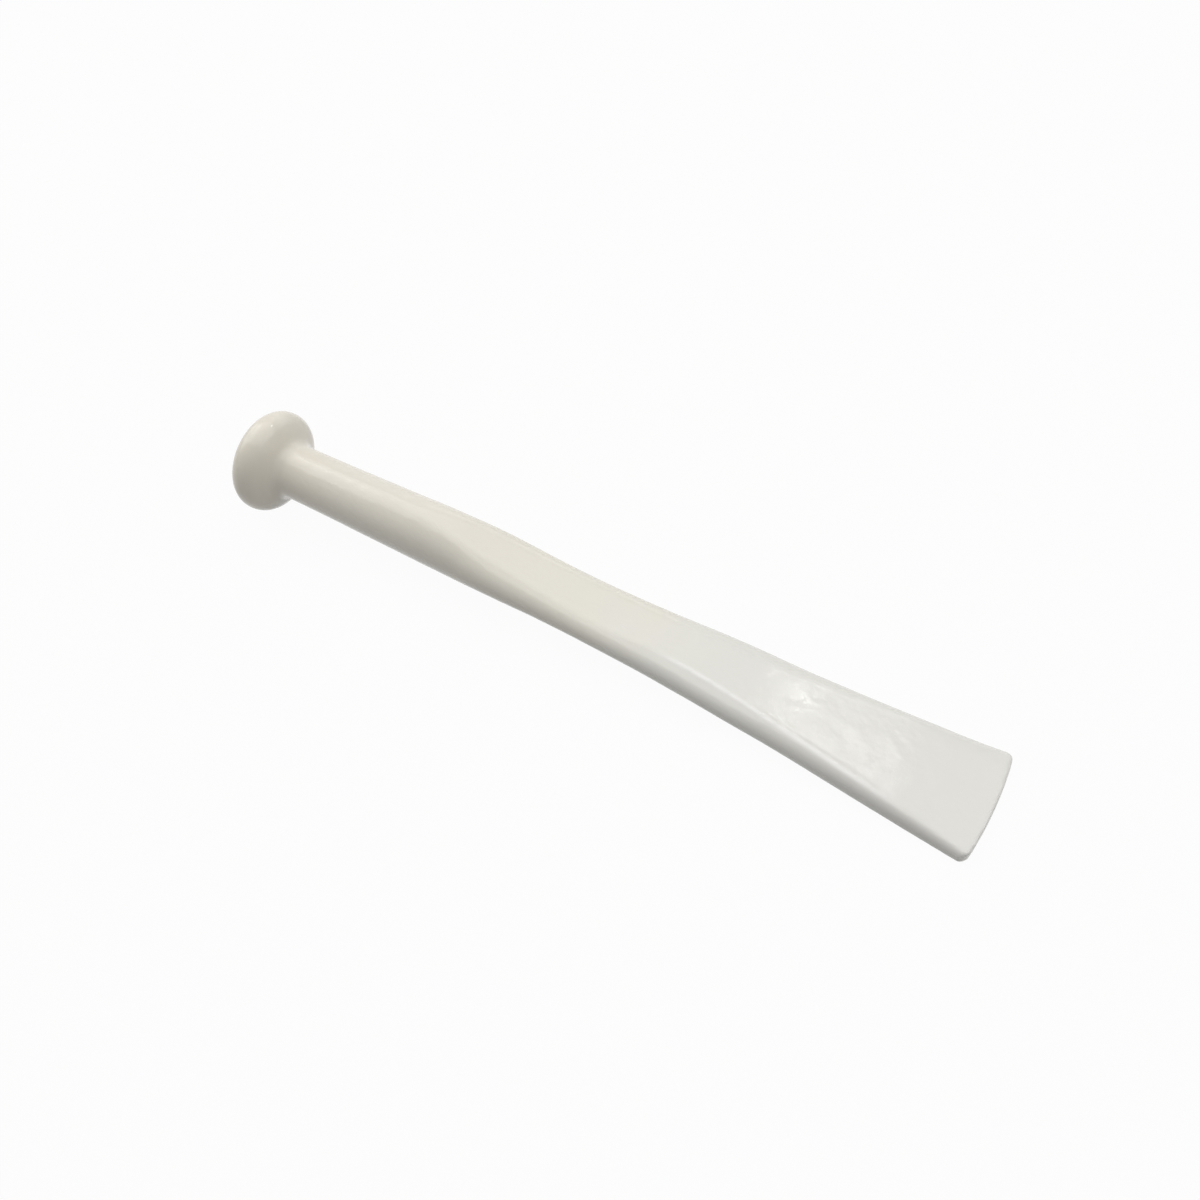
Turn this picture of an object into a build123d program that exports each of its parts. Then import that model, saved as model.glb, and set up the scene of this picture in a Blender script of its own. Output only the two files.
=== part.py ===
"""Glazed porcelain lab spatula: a knob, a round handle and a flared flat blade, moulded as one piece.

The shape is drawn in the handle's own frame, from the knob's pole along the axis to the tip. That
frame is tilted a little, because the piece lies on the rim of its knob and on a small land under its
tip. The origin is on the ground below the middle.
"""
import os
from math import asin, atan2, cos, hypot, sin, tan

from build123d import *

# Overall
overall_length = 200.0
overrun = 10.0

# Knob: a flattened ball, a little deeper towards the handle than towards its free end
knob_diameter = 26.5
knob_dome_depth = 6.2
knob_dome_rim = 4.3
knob_shoulder_depth = 7.9
knob_shoulder_rim = 5.0

# Neck behind the knob, and the round handle where the flats begin
neck_diameter = 14.0
neck_length = 3.9
neck_fillet = 3.4
handle_diameter = 15.3

# Tip of the blade
blade_width = 31.2
blade_thickness = 3.5
tip_droop = 6.3
tip_bow = 1.1
corner_radius = 2.6

# The glaze rounds the rim of the upper flat, whose faces lie within about 25 degrees of the axis
glaze_radius = 0.9
upright_share = 0.9

# Ovals at even steps from the neck to the tip, before the flats are cut: widths as shares of the
# flare from handle to tip, heights as shares of the handle, drops as shares of the tip's droop
oval_flare_shares = (0.002, 0.02, 0.085, 0.316, 0.593, 1.0)
oval_height_shares = (0.998, 1.017, 0.833, 0.706, 0.742, 0.733)
oval_drop_shares = (0.0, 0.048, 0.242, 0.482, 0.806, 1.102)

# Upper flat: a ramp off the handle, a shallow hollow, a crest, and the long slope to the tip.
# Places are shares of the bar's length, heights above the axis are shares of the handle's radius
ramp_start_share = 0.179
hollow_place_share = 0.484
hollow_height_share = 0.01
hollow_blend_radius = 80.0
crest_place_share = 0.626
crest_height_share = 0.26
crest_blend_radius = 60.0

# Lower flat: a shallow arch between the handle and the land on which the tip lies. The arch's line
# begins a little below the bar
arch_start_share = 0.23
arch_start_depth_share = 1.075
arch_crest_share = 0.626
arch_depth_share = 0.807
arch_blend_radius = 300.0
land_length = 10.0
land_blend_radius = 30.0

os.makedirs("parts", exist_ok=True)

# Sizes worked out from the ones above
knob_radius = knob_diameter / 2
neck_radius = neck_diameter / 2
handle_radius = handle_diameter / 2
shoulder_end = knob_dome_depth + knob_shoulder_depth
neck_end = shoulder_end + neck_length
bar_length = overall_length - neck_end
oval_step = bar_length / len(oval_flare_shares)
tip_top = blade_thickness / 2 - tip_droop
land_start = overall_length - land_length
land_height = -blade_thickness / 2 - tip_droop

# The ground touches the knob's rim and the land under the tip
rim_centre_depth = knob_radius - knob_shoulder_rim
contact_run = land_start - knob_dome_depth
contact_rise = rim_centre_depth + land_height
contact_turn = asin(knob_shoulder_rim / hypot(contact_run, contact_rise))
rest_tilt = atan2(contact_rise, contact_run) + contact_turn
tip_bottom = land_height + land_length * tan(rest_tilt)
pole_height = knob_dome_depth * sin(rest_tilt) + rim_centre_depth * cos(rest_tilt) + knob_shoulder_rim

# The handle's frame at rest, with its side plane, and its cross planes at any place along the axis
pole = (-overall_length / 2 * cos(rest_tilt), 0, pole_height)
lie = Plane(pole, x_dir=(cos(rest_tilt), 0, -sin(rest_tilt)), z_dir=(sin(rest_tilt), 0, cos(rest_tilt)))
side = Plane(lie.origin, x_dir=lie.x_dir, z_dir=-lie.y_dir)


def across(place):
    """The plane square to the axis, at a place along it from the knob's pole."""
    return Plane(lie.origin + lie.x_dir * place, x_dir=lie.y_dir, z_dir=lie.x_dir)


def rim_end(depth, rim):
    """Where the rim's arc meets the shallow cap of the knob: distance along the axis and radius.

    The cap is an arc about a point of the axis, as deep as the given depth, and the rim's arc ends
    tangent to it. The distance is measured from the knob's widest circle.
    """
    rim_centre = knob_radius - rim
    cap = (rim_centre**2 + depth**2 - rim**2) / (2 * (depth - rim))
    share = cap / (cap - rim)
    return (depth - cap + share * (cap - depth), share * rim_centre)


def extended(inner, outer):
    """The point that lies an overrun beyond outer, on the line from inner."""
    start, end = Vector(*inner), Vector(*outer)
    beyond = end + (end - start).normalized() * overrun
    return (beyond.X, beyond.Y)


def oval_half_width(flare):
    """Half the width of an oval, from its share of the flare."""
    return handle_radius + flare * (blade_width - handle_diameter) / 2


def place_at(share):
    """A place along the axis, from its share of the bar's length."""
    return neck_end + share * bar_length


with BuildPart() as spatula:
    # Knob and neck, revolved about the handle's axis
    with BuildSketch(side):
        with BuildLine():
            crown = (knob_dome_depth, knob_radius)
            along, radius = rim_end(knob_dome_depth, knob_dome_rim)
            dome_rim = TangentArc(crown, (knob_dome_depth - along, radius), tangent=(-1, 0))
            TangentArc(dome_rim @ 1, (0, 0), tangent=dome_rim % 1)
            along, radius = rim_end(knob_shoulder_depth, knob_shoulder_rim)
            shoulder_rim = TangentArc(crown, (knob_dome_depth + along, radius), tangent=(1, 0))
            TangentArc(shoulder_rim @ 1, (shoulder_end, 0), tangent=shoulder_rim % 1)
            Line((0, 0), (shoulder_end, 0))
        make_face()
        with Locations((knob_dome_depth, 0)):
            Rectangle(neck_end - knob_dome_depth, neck_radius, align=(Align.MIN, Align.MIN))
        corners = vertices().filter_by(lambda v: v.X < shoulder_end and v.Y > neck_radius / 2)
        inner_corner = corners.sort_by(Axis.Y)[0]
        fillet(inner_corner, neck_fillet)
    revolve(axis=Axis(lie.origin, lie.x_dir))

    # Bar: round at the neck, then ovals that flare and sink towards the tip
    with BuildSketch(across(neck_end)):
        Circle(neck_radius)
    ovals = zip(oval_flare_shares, oval_height_shares, oval_drop_shares)
    for number, (flare, height, drop) in enumerate(ovals, start=1):
        with BuildSketch(across(neck_end + number * oval_step)):
            with Locations((0, -drop * tip_droop)):
                Ellipse(oval_half_width(flare), height * handle_radius)
    loft()

    # Upper flat: everything above its profile is cut away
    upper = [
        (place_at(ramp_start_share), handle_radius),
        (place_at(hollow_place_share), hollow_height_share * handle_radius),
        (place_at(crest_place_share), crest_height_share * handle_radius),
        (overall_length, tip_top),
    ]
    upper[0] = extended(upper[1], upper[0])
    upper[-1] = extended(upper[-2], upper[-1])
    with BuildSketch(side):
        with BuildLine():
            profile = FilletPolyline(*upper, radius=(hollow_blend_radius, crest_blend_radius))
            ceiling = knob_radius + overrun
            Polyline(profile @ 0, (upper[0][0], ceiling), (upper[-1][0], ceiling), profile @ 1)
        make_face()
    extrude(amount=blade_width, both=True, mode=Mode.SUBTRACT)

    # Lower flat
    lower = [
        (place_at(arch_start_share), -arch_start_depth_share * handle_radius),
        (place_at(arch_crest_share), -arch_depth_share * handle_radius),
        (land_start, land_height),
        (overall_length, tip_bottom),
    ]
    lower[0] = extended(lower[1], lower[0])
    lower[-1] = extended(lower[-2], lower[-1])
    with BuildSketch(side):
        with BuildLine():
            profile = FilletPolyline(*lower, radius=(arch_blend_radius, land_blend_radius))
            cellar = -knob_radius - overrun
            Polyline(profile @ 0, (lower[0][0], cellar), (lower[-1][0], cellar), profile @ 1)
        make_face()
    extrude(amount=blade_width, both=True, mode=Mode.SUBTRACT)

    # Tip: a slightly convex end with rounded corners. What lies outside its outline is cut away
    with BuildSketch(lie):
        with Locations((overall_length, 0)):
            Rectangle(2 * overrun, blade_width + 2 * overrun)
        with BuildLine():
            bow = ThreePointArc(
                (overall_length - tip_bow, -blade_width / 2),
                (overall_length, 0),
                (overall_length - tip_bow, blade_width / 2),
            )
            last_flank = oval_half_width(oval_flare_shares[-2])
            flank_start = overall_length - oval_step
            Polyline(bow @ 1, (flank_start, last_flank), (flank_start, -last_flank), bow @ 0)
        make_face(mode=Mode.SUBTRACT)
        tip_corners = vertices().filter_by_position(Axis.X, overall_length - 2 * tip_bow, overall_length)
        fillet(tip_corners, corner_radius)
    extrude(amount=knob_diameter, both=True, mode=Mode.SUBTRACT)

    # The glaze rounds the rim of the upper flat. The straight edges lie inside it, where its faces meet
    upper_faces = faces().filter_by(lambda face: face.normal_at().dot(lie.z_dir) > upright_share)
    fillet(upper_faces.edges().filter_by(GeomType.LINE, reverse=True), glaze_radius)

spatula.part.label = "spatula"
export_step(spatula.part, "parts/spatula.step")
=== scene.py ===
"""Looks of the glazed porcelain lab spatula.

One smooth moulded body with its glaze, on a white table in soft light.
"""

import math

import bmesh
import bpy
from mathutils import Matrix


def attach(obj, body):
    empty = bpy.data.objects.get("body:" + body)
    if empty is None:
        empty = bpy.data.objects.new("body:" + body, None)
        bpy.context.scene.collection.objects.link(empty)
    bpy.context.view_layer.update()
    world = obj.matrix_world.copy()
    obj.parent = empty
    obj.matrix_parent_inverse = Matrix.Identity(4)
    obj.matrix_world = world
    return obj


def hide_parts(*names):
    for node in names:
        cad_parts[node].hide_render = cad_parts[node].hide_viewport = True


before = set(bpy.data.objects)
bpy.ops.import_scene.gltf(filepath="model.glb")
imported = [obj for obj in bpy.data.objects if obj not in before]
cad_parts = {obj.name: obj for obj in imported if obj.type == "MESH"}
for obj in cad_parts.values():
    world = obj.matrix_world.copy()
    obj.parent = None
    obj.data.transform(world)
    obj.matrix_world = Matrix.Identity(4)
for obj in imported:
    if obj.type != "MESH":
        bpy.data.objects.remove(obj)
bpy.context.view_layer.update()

# Sizes in millimetres, along the handle's axis from the knob's pole to the tip
LENGTH = 200.0
KNOB_RADIUS = 13.25
DOME_DEPTH = 6.2
DOME_RIM = 4.3
SHOULDER_DEPTH = 7.9
SHOULDER_RIM = 5.0
NECK_RADIUS = 7.0
NECK_END = 18.0
NECK_FILLET = 3.4
BLADE_HALF = 15.6
TIP_BOW = 1.1
TIP_CORNER = 3.2
FLANK_START = (169.67, 12.364)
OVERRUN = 3.0

# The bar from the neck to the tip: place, half width, reach of the rounded edge across and upwards,
# height of that edge's centre, half width of the upper flat, and its height above the axis
BAR = (
    (18.0, 7.00, 7.00, 7.00, 0.00, 3.00, 7.00),
    (30.0, 7.18, 7.18, 7.18, 0.00, 3.00, 7.18),
    (40.0, 7.42, 7.42, 7.42, 0.00, 3.00, 7.42),
    (48.3, 7.58, 7.58, 7.58, 0.00, 2.80, 7.55),
    (56.6, 7.82, 7.70, 7.70, 0.05, 2.70, 7.40),
    (64.7, 8.07, 7.10, 7.10, 0.00, 3.00, 6.70),
    (70.0, 8.36, 5.95, 5.95, -0.05, 3.50, 5.86),
    (75.4, 8.48, 5.00, 5.00, -0.20, 3.90, 4.97),
    (80.0, 8.44, 4.50, 4.50, -0.43, 4.10, 4.28),
    (88.7, 8.26, 3.85, 3.85, -0.86, 4.50, 3.18),
    (99.4, 8.28, 3.40, 3.40, -1.42, 5.00, 2.11),
    (108.4, 8.52, 3.25, 3.25, -1.78, 5.20, 1.66),
    (118.5, 8.88, 3.30, 3.30, -2.10, 5.00, 1.58),
    (125.0, 9.28, 3.40, 3.40, -2.33, 5.00, 1.52),
    (132.4, 9.80, 3.22, 3.22, -2.60, 5.40, 1.18),
    (141.5, 10.34, 3.22, 3.22, -3.22, 6.20, 0.46),
    (150.3, 10.70, 3.35, 3.35, -3.92, 7.30, -0.36),
    (159.0, 11.30, 3.10, 3.30, -4.55, 8.40, -1.17),
    (169.6, 12.15, 2.60, 3.20, -5.38, 9.70, -2.15),
    (180.0, 13.10, 2.20, 3.00, -6.05, 11.00, -3.04),
    (190.0, 14.05, 1.80, 2.60, -6.60, 12.40, -3.97),
    (200.0, 15.25, 1.40, 2.00, -6.75, 14.20, -4.75),
)
ROUND_TO_FLAT = (46.0, 74.0)

# Thin bead of glaze along the crease of the blade, and a painted highlight beside it: a white line
# standing in for the glint of light on the crease
BEAD_HEIGHT = 0.18
BEAD_BEGINS = (118.0, 130.0)
BEAD_FADES = (168.0, 186.0)
HIGHLIGHT_OFFSET = 0.2
HIGHLIGHT_WIDTH = 0.5

# Underside in side view: a shallow arch, and the land on which the tip lies
LOWER = ((59.86, -8.22), (131.93, -6.17), (190.0, -8.05), (200.0, -7.77))
LOWER_BLENDS = (300.0, 30.0)
NO_UNDERSIDE = ((0.0, -99.0), (LENGTH, -99.0))

# How the piece lies: on the knob's rim and on the land under the tip
TILT = math.radians(1.6212)
POLE_HEIGHT = 13.426
MILLIMETRE = 0.001

# Places across the top, from the middle to where the rounded edge begins. The flat ends at the crease
ACROSS = (0.0, 0.2, 0.38, 0.5, 0.57, 0.62, 0.68, 0.76, 0.84, 0.92)
CREASE = 0.62
EDGE_START = math.radians(68.0)
EDGE_END = math.radians(-45.0)

# Fineness of the curves and of the skin
EDGE_STEPS = 16
BELLY_STEPS = 9
BAR_STEPS = 150
CAP_STEPS = 14
RIM_STEPS = 12
HOLLOW_STEPS = 10
BLEND_STEPS = 16
BOW_STEPS = 24
CORNER_STEPS = 16
VOXEL = 0.37
EASE_FACTOR = 0.5
EASE_ROUNDS = 10

# Wall that cuts the tip: its height, how far it runs back along the flanks, and its thickness as a
# widening about a place inside the blade
WALL_HEIGHT = 60.0
WALL_DROP = 5.0
WALL_RUN = 9.0
WALL_RELIEF = 0.4
WALL_WIDENING = 1.9
WALL_MIDDLE = 184.0

# Colours of the glaze along the piece from knob to tip, of its specks, and of the painted highlight line
# at the crease
TINTS = (
    (0.02, (0.780, 0.730, 0.628, 1.0)),
    (0.20, (0.785, 0.745, 0.655, 1.0)),
    (0.52, (0.777, 0.751, 0.668, 1.0)),
    (0.66, (0.764, 0.757, 0.701, 1.0)),
    (0.96, (0.766, 0.755, 0.712, 1.0)),
)
SPECK = (0.36, 0.31, 0.25, 1.0)
# White of the painted highlight at the crease
PAINTED_HIGHLIGHT_WHITE = (0.93, 0.92, 0.89, 1.0)
WHITE = (1.0, 1.0, 1.0, 1.0)
TABLE_GREY = (0.5, 0.5, 0.5, 1.0)
TABLE_GLOW = 0.96
ROOM_LIGHT = 0.2


def nothing_selected():
    if bpy.context.mode != "OBJECT":
        bpy.ops.object.mode_set(mode="OBJECT")
    bpy.ops.object.select_all(action="DESELECT")


def only_selected(thing):
    nothing_selected()
    bpy.context.view_layer.objects.active = thing
    thing.select_set(True)


def eased(value, low, high):
    """How far a value has come from low to high, with a soft start and end."""
    share = min(1.0, max(0.0, (value - low) / (high - low)))
    return share * share * (3.0 - 2.0 * share)


def mixed(first, second, share):
    return tuple(a + (b - a) * share for a, b in zip(first, second))


def bead_at(x):
    """How much of the bead is there: none before it begins and after it has faded."""
    return eased(x, *BEAD_BEGINS) * (1.0 - eased(x, *BEAD_FADES))


def bar_at(x):
    """The bar's sizes at a place, on smooth curves through the table."""
    n = 0
    while n < len(BAR) - 2 and x > BAR[n + 1][0]:
        n += 1
    a, b = BAR[n], BAR[n + 1]
    before = BAR[max(n - 1, 0)]
    after = BAR[min(n + 2, len(BAR) - 1)]
    span = b[0] - a[0]
    t = (x - a[0]) / span
    sizes = []
    for k in range(1, len(a)):
        slope_a = (b[k] - before[k]) / (b[0] - before[0]) * span
        slope_b = (after[k] - a[k]) / (after[0] - a[0]) * span
        sizes.append(
            (2 * t**3 - 3 * t**2 + 1) * a[k] + (t**3 - 2 * t**2 + t) * slope_a
            + (3 * t**2 - 2 * t**3) * b[k] + (t**3 - t**2) * slope_b
        )
    return sizes


def height_on(line, x):
    """Height of a side-view line at a place."""
    for (x0, z0), (x1, z1) in zip(line, line[1:]):
        if x <= x1:
            return z0 + (x - x0) / (x1 - x0) * (z1 - z0)
    return line[-1][1]


def outline_at(x, underside):
    """The bar's outline square to its axis: one half from top to bottom, then the other half back up."""
    width, edge, rise, edge_height, flat, flat_height = bar_at(x)
    run = width - edge
    flatness = eased(x, *ROUND_TO_FLAT)
    bead = BEAD_HEIGHT * bead_at(x)

    # Top: a crown that turns into the flat, and the slope beyond its crease
    begin = (run + edge * math.cos(EDGE_START), edge_height + rise * math.sin(EDGE_START))
    half = []
    for q in ACROSS:
        a = (math.pi / 2 - EDGE_START) * q
        crown = (run * q + edge * math.sin(a), edge_height + rise * math.cos(a))
        if q <= CREASE:
            level = (flat * q / CREASE, flat_height + (bead if q == CREASE else 0.0))
        else:
            level = mixed((flat, flat_height), begin, (q - CREASE) / (1.0 - CREASE))
        half.append(mixed(crown, level, flatness))

    # Rounded edge
    floor = height_on(underside, x)
    for i in range(EDGE_STEPS + 1):
        a = EDGE_START + (EDGE_END - EDGE_START) * i / EDGE_STEPS
        y, z = run + edge * math.cos(a), edge_height + rise * math.sin(a)
        half.append((y, z + (max(z, floor) - z) * flatness))

    # Belly: round at the handle, flat under the blade
    y, z = half[-1]
    foot = max(0.25 * width, y - max(0.0, z - floor))
    for i in range(1, BELLY_STEPS + 1):
        p = i / BELLY_STEPS
        a = EDGE_END + (-math.pi / 2 - EDGE_END) * p
        round_belly = (run * (1.0 - p) + edge * math.cos(a), edge_height + rise * math.sin(a))
        if p <= 0.5:
            flat_belly = mixed((y, z), (foot, floor), p / 0.5)
        else:
            flat_belly = (foot * (1.0 - p) / 0.5, floor)
        half.append(mixed(round_belly, flat_belly, flatness))
    half[0] = (0.0, half[0][1])
    half[-1] = (0.0, half[-1][1])
    return half + [(-y, z) for y, z in reversed(half[1:-1])]


def round_at(radius):
    """A circle with its points at the same turns as the bar's outline at the neck."""
    neck = outline_at(NECK_END, NO_UNDERSIDE)
    return [(y * radius / NECK_RADIUS, z * radius / NECK_RADIUS) for y, z in neck]


def cap_arcs(depth, rim):
    """Half outline of one side of the knob, from the axis to the widest circle: (distance, radius)."""
    centre = KNOB_RADIUS - rim
    cap = (centre**2 + depth**2 - rim**2) / (2 * (depth - rim))
    turn = math.asin(centre / (cap - rim))
    outline = []
    for i in range(1, CAP_STEPS + 1):
        a = turn * i / CAP_STEPS
        outline.append((depth - cap + cap * math.cos(a), cap * math.sin(a)))
    for i in range(1, RIM_STEPS + 1):
        a = turn + (math.pi / 2 - turn) * i / RIM_STEPS
        outline.append((rim * math.cos(a), centre + rim * math.sin(a)))
    return outline


def knob_and_neck():
    """Radii along the axis from the pole over the knob to the end of the neck's hollow."""
    dome = [(DOME_DEPTH - d, r) for d, r in cap_arcs(DOME_DEPTH, DOME_RIM)]
    shoulder = [(DOME_DEPTH + d, r) for d, r in cap_arcs(SHOULDER_DEPTH, SHOULDER_RIM)]
    shoulder.reverse()
    centre = KNOB_RADIUS - SHOULDER_RIM
    cap = (centre**2 + SHOULDER_DEPTH**2 - SHOULDER_RIM**2) / (2 * (SHOULDER_DEPTH - SHOULDER_RIM))
    hub = DOME_DEPTH + SHOULDER_DEPTH - cap
    height = NECK_RADIUS + NECK_FILLET
    foot = hub + math.sqrt((cap + NECK_FILLET) ** 2 - height**2)
    lean = math.atan2(height, foot - hub)
    touch_radius = cap * math.sin(lean)
    hollow = []
    for i in range(HOLLOW_STEPS + 1):
        a = math.pi + lean + (math.pi / 2 - lean) * i / HOLLOW_STEPS
        hollow.append((foot + NECK_FILLET * math.cos(a), height + NECK_FILLET * math.sin(a)))
    shoulder = [p for p in shoulder[1:] if p[1] > touch_radius]
    return dome + shoulder + hollow


def rounded_line(points, blends):
    """A side-view line with its inner corners rounded to the given radii."""
    line = [points[0]]
    for before, corner, after, radius in zip(points, points[1:], points[2:], blends):
        a1 = math.atan2(corner[1] - before[1], corner[0] - before[0])
        a2 = math.atan2(after[1] - corner[1], after[0] - corner[0])
        turn = a2 - a1
        reach = radius * math.tan(abs(turn) / 2)
        start = (corner[0] - reach * math.cos(a1), corner[1] - reach * math.sin(a1))
        side = 1 if turn > 0 else -1
        hub = (start[0] - side * radius * math.sin(a1), start[1] + side * radius * math.cos(a1))
        for i in range(BLEND_STEPS + 1):
            a = a1 + turn * i / BLEND_STEPS
            line.append((hub[0] + side * radius * math.sin(a), hub[1] - side * radius * math.cos(a)))
    line.append(points[-1])
    return line


def mark_of(v):
    return (round(v.co.y, 3), round(v.co.z, 3))


def pulled_to(body, x, outline, marks):
    """Moves the ring that was just extruded to its place and outline, and tells where its points are."""
    net = bmesh.from_edit_mesh(body.data)
    new_marks = {}
    for v in net.verts:
        if v.select:
            number = marks[mark_of(v)]
            v.co = (x, *outline[number])
            new_marks[mark_of(v)] = number
    bmesh.update_edit_mesh(body.data)
    return new_marks


def turned_and_drawn_bar():
    """Knob, neck and bar as one closed solid, pulled ring by ring from the pole to beyond the tip."""
    underside = rounded_line(LOWER, LOWER_BLENDS)
    underside = [(0.0, LOWER[0][1]), *underside, (LENGTH + 10.0, LOWER[-1][1])]
    rings = [(x, round_at(r)) for x, r in knob_and_neck()]
    for i in range(BAR_STEPS + 1):
        x = NECK_END + (LENGTH - NECK_END) * i / BAR_STEPS
        rings.append((x, outline_at(x, underside)))
    rings.append((LENGTH + OVERRUN, rings[-1][1]))

    # The first ring, with its middle at the knob's pole
    nothing_selected()
    x, outline = rings[0]
    radius = outline[0][1]
    bpy.ops.mesh.primitive_circle_add(
        vertices=len(outline), radius=radius, fill_type="TRIFAN",
        location=(x, 0.0, 0.0), rotation=(0.0, math.pi / 2, 0.0),
    )
    bar = bpy.context.object
    bar.name = "spatula_body"
    bpy.ops.object.transform_apply(location=True, rotation=True, scale=True)
    bpy.ops.object.mode_set(mode="EDIT")
    net = bmesh.from_edit_mesh(bar.data)
    rim = []
    for v in net.verts:
        if math.hypot(v.co.y, v.co.z) > radius / 2:
            rim.append(v)
        else:
            v.co.x = 0.0
    rim.sort(key=lambda v: math.atan2(v.co.y, v.co.z) % (2 * math.pi - 1e-4))
    marks = {}
    for number, v in enumerate(rim):
        v.co = (x, *outline[number])
        marks[mark_of(v)] = number
    bmesh.update_edit_mesh(bar.data)

    # All further rings are extruded from its open edge
    bpy.ops.mesh.select_all(action="DESELECT")
    bpy.ops.mesh.select_mode(type="EDGE")
    bpy.ops.mesh.select_non_manifold()
    for (here, _), (there, outline) in zip(rings, rings[1:]):
        move = (there - here, 0.0, 0.0)
        bpy.ops.mesh.extrude_edges_move(TRANSFORM_OT_translate={"value": move})
        marks = pulled_to(bar, there, outline, marks)
    bpy.ops.mesh.fill()
    bpy.ops.mesh.select_mode(type="VERT")
    bpy.ops.mesh.select_all(action="SELECT")
    bpy.ops.mesh.normals_make_consistent(inside=False)
    bpy.ops.object.mode_set(mode="OBJECT")
    return bar


def tip_outline():
    """The tip's outline from above: the flanks' ends, the rounded corners and the bow between them."""
    bow_radius = (BLADE_HALF**2 + TIP_BOW**2) / (2 * TIP_BOW)
    hub = LENGTH - bow_radius
    corner = (LENGTH - TIP_BOW, BLADE_HALF)
    along = math.atan2(corner[1] - FLANK_START[1], corner[0] - FLANK_START[0])
    # The corner's circle touches the flank's line and the bow from inside
    low, high = 0.0, 1.0
    for _ in range(60):
        share = (low + high) / 2
        touch = mixed(FLANK_START, corner, share)
        x = touch[0] + TIP_CORNER * math.sin(along)
        y = touch[1] - TIP_CORNER * math.cos(along)
        if math.hypot(x - hub, y) < bow_radius - TIP_CORNER:
            low = share
        else:
            high = share
    bow_turn = math.atan2(y, x - hub)
    half = []
    for i in range(BOW_STEPS + 1):
        a = bow_turn * i / BOW_STEPS
        half.append((hub + bow_radius * math.cos(a), bow_radius * math.sin(a)))
    for i in range(1, CORNER_STEPS + 1):
        a = bow_turn + (math.pi / 2 + along - bow_turn) * i / CORNER_STEPS
        half.append((x + TIP_CORNER * math.cos(a), y + TIP_CORNER * math.sin(a)))
    x, y = half[-1]
    half.append((x - WALL_RUN, y - WALL_RUN * math.tan(along) + WALL_RELIEF))
    return [(px, -py) for px, py in reversed(half[1:])] + half


def tip_wall():
    """A wall round the tip whose inner face is the tip's outline from above."""
    outline = tip_outline()
    nothing_selected()
    bpy.ops.mesh.primitive_plane_add(size=1.0)
    wall = bpy.context.object
    wall.name = "tip_wall"

    # One edge of the plane, stood upright at the outline's first point
    bpy.ops.object.mode_set(mode="EDIT")
    net = bmesh.from_edit_mesh(wall.data)
    for v in net.verts:
        v.select_set(v.co.x > 0)
    net.select_flush_mode()
    bmesh.update_edit_mesh(wall.data)
    bpy.ops.mesh.delete(type="VERT")
    bpy.ops.mesh.select_all(action="SELECT")
    middle = (-0.5, 0.0, 0.0)
    bpy.ops.transform.rotate(value=math.pi / 2, orient_axis="X", center_override=middle)
    bpy.ops.transform.resize(value=(1.0, 1.0, WALL_HEIGHT), center_override=middle)
    bpy.ops.transform.translate(value=(outline[0][0] - middle[0], outline[0][1], -WALL_DROP))

    # Drawn along the outline, then thickened outwards
    for here, there in zip(outline, outline[1:]):
        step = (there[0] - here[0], there[1] - here[1], 0.0)
        bpy.ops.mesh.extrude_region_move(TRANSFORM_OT_translate={"value": step})
    bpy.ops.mesh.select_all(action="SELECT")
    bpy.ops.mesh.extrude_region_move(TRANSFORM_OT_translate={"value": (0.0, 0.0, 0.0)})
    bpy.ops.transform.resize(
        value=(WALL_WIDENING, WALL_WIDENING, 1.0), center_override=(WALL_MIDDLE, 0.0, 0.0)
    )
    bpy.ops.mesh.select_all(action="SELECT")
    bpy.ops.mesh.normals_make_consistent(inside=False)
    bpy.ops.object.mode_set(mode="OBJECT")
    return wall


def cut(body, tool):
    """Takes the tool's room out of the body and throws the tool away."""
    only_selected(body)
    modifier = body.modifiers.new("cut", "BOOLEAN")
    modifier.operation = "DIFFERENCE"
    modifier.solver = "EXACT"
    modifier.object = tool
    bpy.ops.object.modifier_apply(modifier="cut")
    only_selected(tool)
    bpy.ops.object.delete()


def softened(body):
    """An even fine skin over the solid, with every crease rounded as under a glaze."""
    only_selected(body)
    skin = body.modifiers.new("skin", "REMESH")
    skin.mode = "VOXEL"
    skin.voxel_size = VOXEL
    skin.use_smooth_shade = True
    bpy.ops.object.modifier_apply(modifier="skin")
    ease = body.modifiers.new("ease", "SMOOTH")
    ease.factor = EASE_FACTOR
    ease.iterations = EASE_ROUNDS
    bpy.ops.object.modifier_apply(modifier="ease")


def painted_crease_highlight(body):
    """Marks the painted highlight along the near crease of the blade: a thin white line standing in for
    the glint of light there.
    """
    line = body.data.attributes.new("painted_crease_highlight", "FLOAT", "POINT")
    for v in body.data.vertices:
        x, y, z = v.co
        if y < 0 and BEAD_BEGINS[0] < x < BEAD_FADES[1]:
            _, _, _, edge_height, flat, _ = bar_at(x)
            if z > edge_height:
                off = (-y - flat - HIGHLIGHT_OFFSET) / HIGHLIGHT_WIDTH
                line.data[v.index].value = bead_at(x) * math.exp(-off * off)


def laid_down(body):
    """Puts the finished body into its place at rest, in metres."""
    only_selected(body)
    body.scale = (MILLIMETRE, MILLIMETRE, MILLIMETRE)
    body.rotation_euler = (0.0, TILT, 0.0)
    body.location = (-LENGTH / 2 * math.cos(TILT) * MILLIMETRE, 0.0, POLE_HEIGHT * MILLIMETRE)
    bpy.ops.object.transform_apply(location=True, rotation=True, scale=True)
    bpy.ops.object.shade_smooth()


body = turned_and_drawn_bar()
cut(body, tip_wall())
softened(body)
# Painted highlight line along the near crease
painted_crease_highlight(body)
laid_down(body)

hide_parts("spatula")
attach(body, "root")


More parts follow.
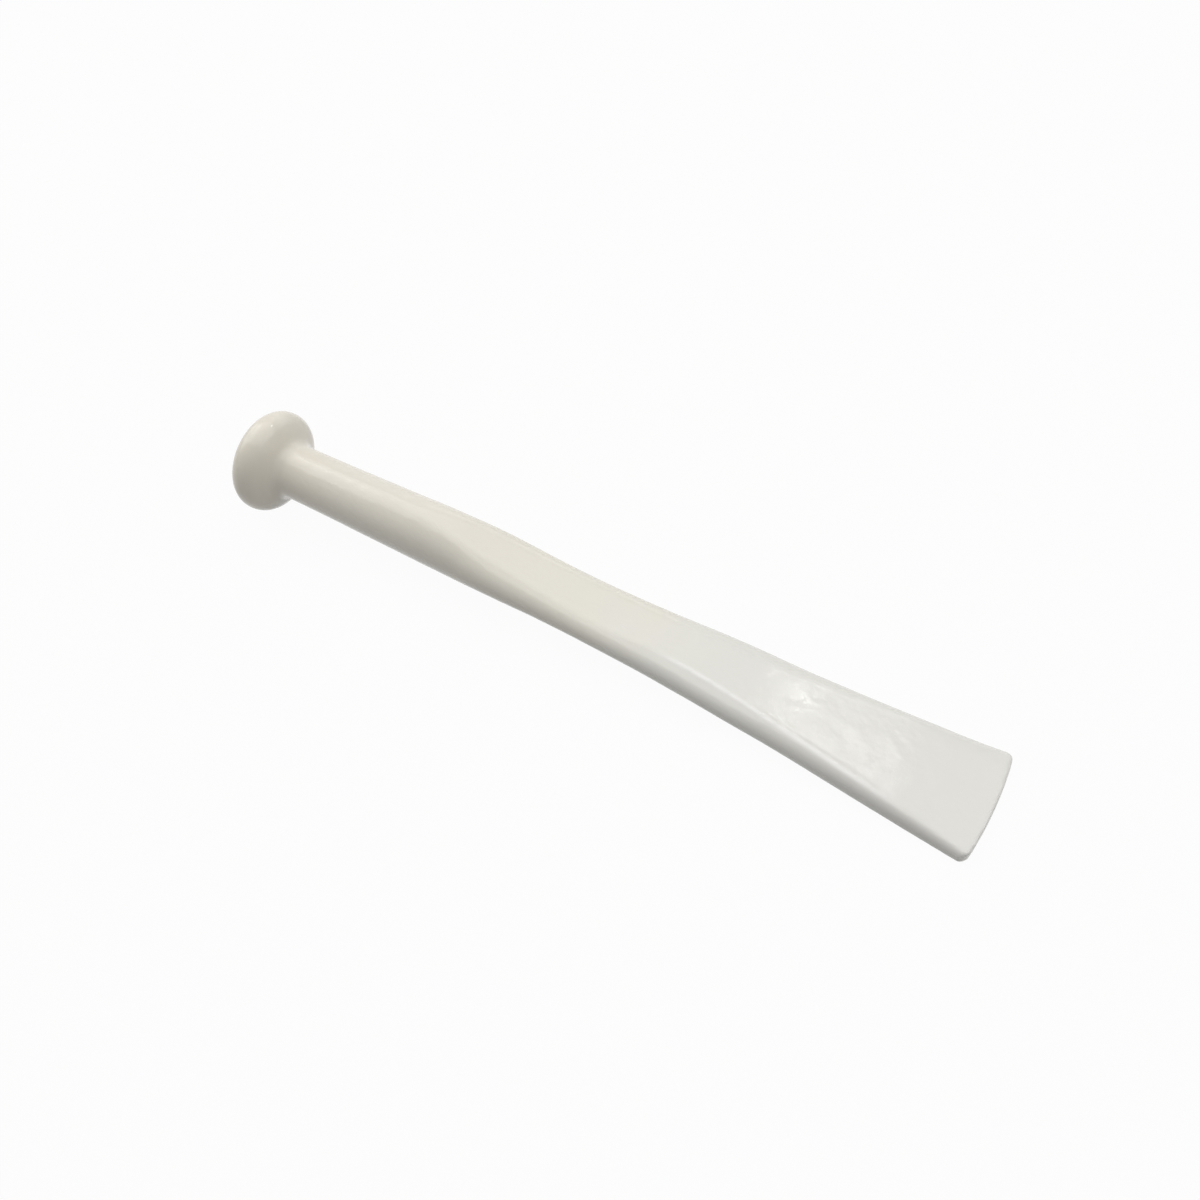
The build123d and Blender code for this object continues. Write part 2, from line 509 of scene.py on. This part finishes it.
def worked_out(nodes, links, operation, first, second):
    """Sum, product or larger one of two values."""
    node = nodes.new("ShaderNodeMath")
    node.operation = operation
    links.new(first, node.inputs[0])
    links.new(second, node.inputs[1])
    return node.outputs["Value"]


def glaze():
    """White glaze over the clay: warmer where it is thick on the knob and handle, cooler on the blade.

    It is wavy, with a fine orange peel, patches of a softer gloss and a few pin-sized specks.
    """
    material = bpy.data.materials.new("porcelain_glaze")
    material.use_nodes = True
    nodes, links = material.node_tree.nodes, material.node_tree.links
    shader = nodes["Principled BSDF"]
    shader.inputs["IOR"].default_value = 1.5
    place = nodes.new("ShaderNodeTexCoord")

    def noise(scale, detail):
        texture = nodes.new("ShaderNodeTexNoise")
        texture.inputs["Scale"].default_value = scale
        texture.inputs["Detail"].default_value = detail
        links.new(place.outputs["Object"], texture.inputs["Vector"])
        return texture.outputs["Fac"]

    def spread(value, low, high, new_low, new_high):
        reach = nodes.new("ShaderNodeMapRange")
        ends = {"From Min": low, "From Max": high, "To Min": new_low, "To Max": new_high}
        for name, number in ends.items():
            reach.inputs[name].default_value = number
        links.new(value, reach.inputs["Value"])
        return reach.outputs["Result"]

    def blended(share, under, colour):
        mix = nodes.new("ShaderNodeMix")
        mix.data_type = "RGBA"
        links.new(share, mix.inputs["Factor"])
        links.new(under, mix.inputs[6])
        mix.inputs[7].default_value = colour
        return mix.outputs[2]

    def bump(height, strength, distance):
        node = nodes.new("ShaderNodeBump")
        node.inputs["Strength"].default_value = strength
        node.inputs["Distance"].default_value = distance
        links.new(height, node.inputs["Height"])
        return node

    # Colour: along the piece, with soft clouds
    axes = nodes.new("ShaderNodeSeparateXYZ")
    links.new(place.outputs["Object"], axes.inputs["Vector"])
    along = spread(axes.outputs["X"], -0.1, 0.1, 0.0, 1.0)
    clouds = spread(noise(42.0, 3.0), 0.3, 0.7, -0.09, 0.09)
    tint = nodes.new("ShaderNodeValToRGB")
    stops = tint.color_ramp.elements
    stops[0].position, stops[0].color = TINTS[0]
    stops[1].position, stops[1].color = TINTS[-1]
    for position, colour in TINTS[1:-1]:
        stops.new(position).color = colour
    links.new(worked_out(nodes, links, "ADD", along, clouds), tint.inputs["Fac"])

    # Specks: a dot in a few of the cells
    cells = nodes.new("ShaderNodeTexVoronoi")
    cells.inputs["Scale"].default_value = 160.0
    links.new(place.outputs["Object"], cells.inputs["Vector"])
    dot = spread(cells.outputs["Distance"], 0.03, 0.06, 1.0, 0.0)
    pick = nodes.new("ShaderNodeSeparateColor")
    links.new(cells.outputs["Color"], pick.inputs["Color"])
    chosen = spread(pick.outputs["Red"], 0.9, 0.92, 0.0, 0.35)
    speck = worked_out(nodes, links, "MULTIPLY", dot, chosen)
    spotted = blended(speck, tint.outputs["Color"], SPECK)

    # Painted highlight: a white line along the near crease, in place of the glint of light there
    highlight_line = nodes.new("ShaderNodeAttribute")
    highlight_line.attribute_name = "painted_crease_highlight"
    highlighted = blended(highlight_line.outputs["Fac"], spotted, PAINTED_HIGHLIGHT_WHITE)
    links.new(highlighted, shader.inputs["Base Color"])

    # Gloss: patches of a softer shine
    links.new(spread(noise(140.0, 4.0), 0.3, 0.7, 0.09, 0.16), shader.inputs["Roughness"])

    # Relief: slow waves of the glaze, then orange peel
    waves = bump(noise(150.0, 2.0), 0.3, 0.00035)
    peel = bump(noise(480.0, 2.0), 0.6, 0.00005)
    links.new(waves.outputs["Normal"], peel.inputs["Normal"])
    links.new(peel.outputs["Normal"], shader.inputs["Normal"])
    return material


body.data.materials.clear()
body.data.materials.append(glaze())


def seen_or_mirrored(nodes, links):
    """One for what the eye sees, itself or in a mirror or through glass, and none for what only lights."""
    path = nodes.new("ShaderNodeLightPath")
    seen = path.outputs["Is Camera Ray"]
    for ray in ("Is Glossy Ray", "Is Transmission Ray"):
        seen = worked_out(nodes, links, "MAXIMUM", seen, path.outputs[ray])
    return seen


def white_table():
    """A pale table top, white to the eye, that keeps the soft shadow under the piece."""
    nothing_selected()
    bpy.ops.mesh.primitive_plane_add(size=6.0, location=(0.0, 0.0, 0.0))
    table = bpy.context.object
    table.name = "table_top"
    material = bpy.data.materials.new("white_table")
    material.use_nodes = True
    nodes, links = material.node_tree.nodes, material.node_tree.links
    nodes.clear()
    output = nodes.new("ShaderNodeOutputMaterial")
    matt = nodes.new("ShaderNodeBsdfDiffuse")
    matt.inputs["Color"].default_value = TABLE_GREY
    glow = nodes.new("ShaderNodeEmission")
    glow.inputs["Color"].default_value = WHITE
    glow.inputs["Strength"].default_value = 1.0
    share = nodes.new("ShaderNodeMath")
    share.operation = "MULTIPLY"
    share.inputs[1].default_value = TABLE_GLOW
    links.new(seen_or_mirrored(nodes, links), share.inputs[0])
    mix = nodes.new("ShaderNodeMixShader")
    links.new(share.outputs["Value"], mix.inputs["Fac"])
    links.new(matt.outputs["BSDF"], mix.inputs[1])
    links.new(glow.outputs["Emission"], mix.inputs[2])
    links.new(mix.outputs["Shader"], output.inputs["Surface"])
    table.data.materials.append(material)
    return table


def lamp(name, place, aim, size, power):
    """A rectangular lamp at a place, turned to shine at its aim."""
    nothing_selected()
    bpy.ops.object.light_add(type="AREA", location=place)
    light = bpy.context.object
    light.name = name
    light.data.shape = "RECTANGLE"
    light.data.size, light.data.size_y = size
    light.data.energy = power
    x, y, z = (a - b for a, b in zip(aim, place))
    light.rotation_euler = (math.atan2(math.hypot(x, y), -z), 0.0, math.atan2(x, -y) + math.pi)
    return light


# Soft light from above and from three sides. Panel and bulb only make the highlight on the blade
white_table()
overhead = lamp("overhead", (0.0, 0.15, 0.9), (0.0, 0.0, 0.0), (1.8, 1.0), 7.3)
panel = lamp("panel", (0.128, 0.549, 0.842), (0.063, 0.0, 0.008), (0.11, 0.026), 0.05)
bulb = lamp("bulb", (0.067, 0.5593, 0.8375), (0.052, 0.0, 0.0088), (0.024, 0.028), 0.025)
window = lamp("window", (-0.9, 0.04, 0.6), (-0.09, 0.0, 0.01), (0.8, 0.8), 3.2)
door = lamp("door", (0.9, 0.05, 0.65), (0.0, 0.0, 0.01), (0.8, 0.8), 1.0)
behind = lamp("behind", (0.0, 0.85, 0.55), (0.0, 0.0, 0.01), (1.2, 0.5), 1.3)

# A dim room for the light, and a white backdrop to the eye and in mirrors
world = bpy.data.worlds.new("studio")
bpy.context.scene.world = world
world.use_nodes = True
nodes, links = world.node_tree.nodes, world.node_tree.links
room = nodes["Background"]
room.inputs["Color"].default_value = WHITE
room.inputs["Strength"].default_value = ROOM_LIGHT
backdrop = nodes.new("ShaderNodeBackground")
backdrop.inputs["Color"].default_value = WHITE
backdrop.inputs["Strength"].default_value = 1.0
both = nodes.new("ShaderNodeMixShader")
links.new(seen_or_mirrored(nodes, links), both.inputs["Fac"])
links.new(room.outputs["Background"], both.inputs[1])
links.new(backdrop.outputs["Background"], both.inputs[2])
links.new(both.outputs["Shader"], nodes["World Output"].inputs["Surface"])

bpy.ops.object.camera_add(location=(0.104815, -0.1633, 0.242921), rotation=(0.699411, 0.02223, 0.53081))
camera = bpy.context.object
camera.data.sensor_width = 36.0
camera.data.lens = 39.0
camera.data.clip_start = 0.01
bpy.context.scene.camera = camera
bpy.context.scene.view_settings.view_transform = "Standard"
